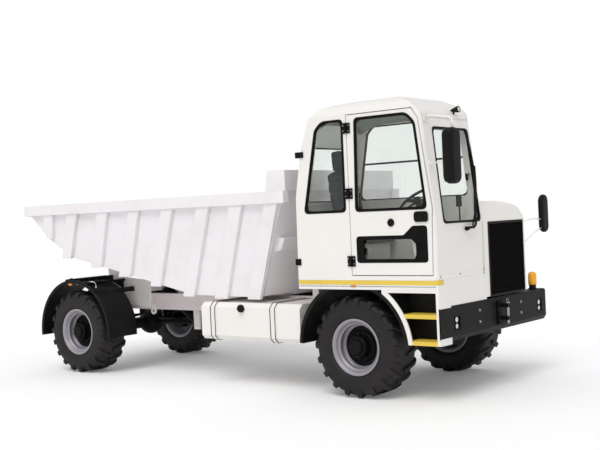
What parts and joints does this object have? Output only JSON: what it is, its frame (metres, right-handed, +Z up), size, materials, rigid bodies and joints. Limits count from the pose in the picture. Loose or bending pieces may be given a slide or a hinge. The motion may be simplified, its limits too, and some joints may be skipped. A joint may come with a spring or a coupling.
{
  "type": "dump truck",
  "caption": "Compact four-wheel-drive dump truck with an offset one-person cab, a hood beside it and a ribbed tipping bed that rises towards an open tail.",
  "frame": {"origin": "middle of the bounding box, on the ground", "axes": "+X is the front of the truck, +Y its left side, +Z up"},
  "size_m": [6.512, 2.472, 3],
  "materials": {
    "bed_white": "semi-gloss paint",
    "cab_white": "gloss paint",
    "black_steel": "satin black paint",
    "black_plastic": "moulded",
    "fender_rubber": "matte",
    "tyre": "matte",
    "rim": "silver paint",
    "yellow": "satin yellow paint",
    "glass": "clear",
    "lamp": "clear lens",
    "seat": "woven cloth",
    "chrome": "polished"
  },
  "bodies": {
    "root": {"cab_floor": "black_steel", "cab_front": "cab_white", "cab_glass": "glass", "cab_left_side": "cab_white", "cab_mounts": "cab_white", "cab_rear": "cab_white", "cab_right_side": "cab_white", "cab_roof": "cab_white", "chassis_rails": "cab_white", "cross_members": "cab_white", "dashboard": "black_plastic", "door_hinge_leaves": "black_steel", "driveline": "black_steel", "engine_block": "black_steel", "entry_steps": "yellow", "fender_front_left": "fender_rubber", "fender_front_right": "fender_rubber", "fender_rear_left": "fender_rubber", "fender_rear_right": "fender_rubber", "front_axle": "black_steel", "front_bumper": "black_steel", "fuel_tank": "cab_white", "grille": "black_steel", "hinge_brackets": "cab_white", "hoist_mount": "cab_white", "hood_box": "cab_white", "hydraulic_tank": "cab_white", "lamps": "lamp", "mirror_left": "black_plastic", "mirror_right": "black_plastic", "rear_axle": "black_steel", "seat": "seat", "seat_base": "black_steel", "sill_strip": "yellow", "springs_front": "black_steel", "springs_rear": "black_steel", "steering_wheel": "black_plastic", "step_skirt": "cab_white", "tow_hitch": "black_steel"},
    "door": {"door_panel": "cab_white", "door_glass": "glass", "door_hardware": "black_steel"},
    "hood": {"hood_lid": "cab_white"},
    "bed": {"bed_floor": "bed_white", "bed_front_wall": "bed_white", "bed_left_side": "bed_white", "bed_right_side": "bed_white", "bed_runners": "bed_white"},
    "hoist_barrel": {"hoist_barrel": "black_steel"},
    "hoist_rod": {"hoist_rod": "chrome"},
    "knuckle_right": {"knuckle_right": "black_steel"},
    "knuckle_left": {"knuckle_left": "black_steel"},
    "wheel_front_right": {"tyre_front_right": "tyre", "rim_front_right": "rim"},
    "wheel_front_left": {"tyre_front_left": "tyre", "rim_front_left": "rim"},
    "wheel_rear_right": {"tyre_rear_right": "tyre", "rim_rear_right": "rim"},
    "wheel_rear_left": {"tyre_rear_left": "tyre", "rim_rear_left": "rim"}
  },
  "joints": [
    {"name": "bed_tip", "type": "hinge", "parent": "root", "child": "bed", "pos_m": [-2.394, 0, 1.085], "axis": [0, -1, 0], "range_deg": [0, 55]},
    {"name": "hoist_swing", "type": "hinge", "parent": "root", "child": "hoist_barrel", "pos_m": [-1.034, -0.15, 0.54], "axis": [0, 1, 0], "range_deg": [0, 12.13]},
    {"name": "hoist_slide", "type": "slide", "parent": "hoist_barrel", "child": "hoist_rod", "axis": [-0.8082, 0, 0.5889], "range_m": [0, 0.5634]},
    {"name": "door_hinge", "type": "hinge", "parent": "root", "child": "door", "pos_m": [2.011, -1.149, 2.04], "axis": [0, 0, -1], "range_deg": [0, 85]},
    {"name": "hood_hinge", "type": "hinge", "parent": "root", "child": "hood", "pos_m": [1.36, 0.26, 1.715], "axis": [0, -1, 0], "range_deg": [0, 50]},
    {"name": "steer_right", "type": "hinge", "parent": "root", "child": "knuckle_right", "pos_m": [1.966, -0.7, 0.515], "axis": [0, 0, 1], "range_deg": [-28, 28]},
    {"name": "steer_left", "type": "hinge", "parent": "root", "child": "knuckle_left", "pos_m": [1.966, 0.7, 0.515], "axis": [0, 0, 1], "range_deg": [-28, 28]},
    {"name": "roll_front_right", "type": "hinge", "parent": "knuckle_right", "child": "wheel_front_right", "pos_m": [1.966, -0.895, 0.515], "axis": [0, 1, 0], "continuous": true},
    {"name": "roll_front_left", "type": "hinge", "parent": "knuckle_left", "child": "wheel_front_left", "pos_m": [1.966, 0.895, 0.515], "axis": [0, 1, 0], "continuous": true},
    {"name": "roll_rear_right", "type": "hinge", "parent": "root", "child": "wheel_rear_right", "pos_m": [-2.338, -0.895, 0.515], "axis": [0, 1, 0], "continuous": true},
    {"name": "roll_rear_left", "type": "hinge", "parent": "root", "child": "wheel_rear_left", "pos_m": [-2.338, 0.895, 0.515], "axis": [0, 1, 0], "continuous": true}
  ],
  "couplings": [
    {"joint": "hoist_swing", "follows": "bed_tip", "ratio": 0.22041},
    {"joint": "hoist_slide", "follows": "bed_tip", "m_per_rad": 0.58684},
    {"joint": "steer_left", "follows": "steer_right", "ratio": 1}
  ]
}
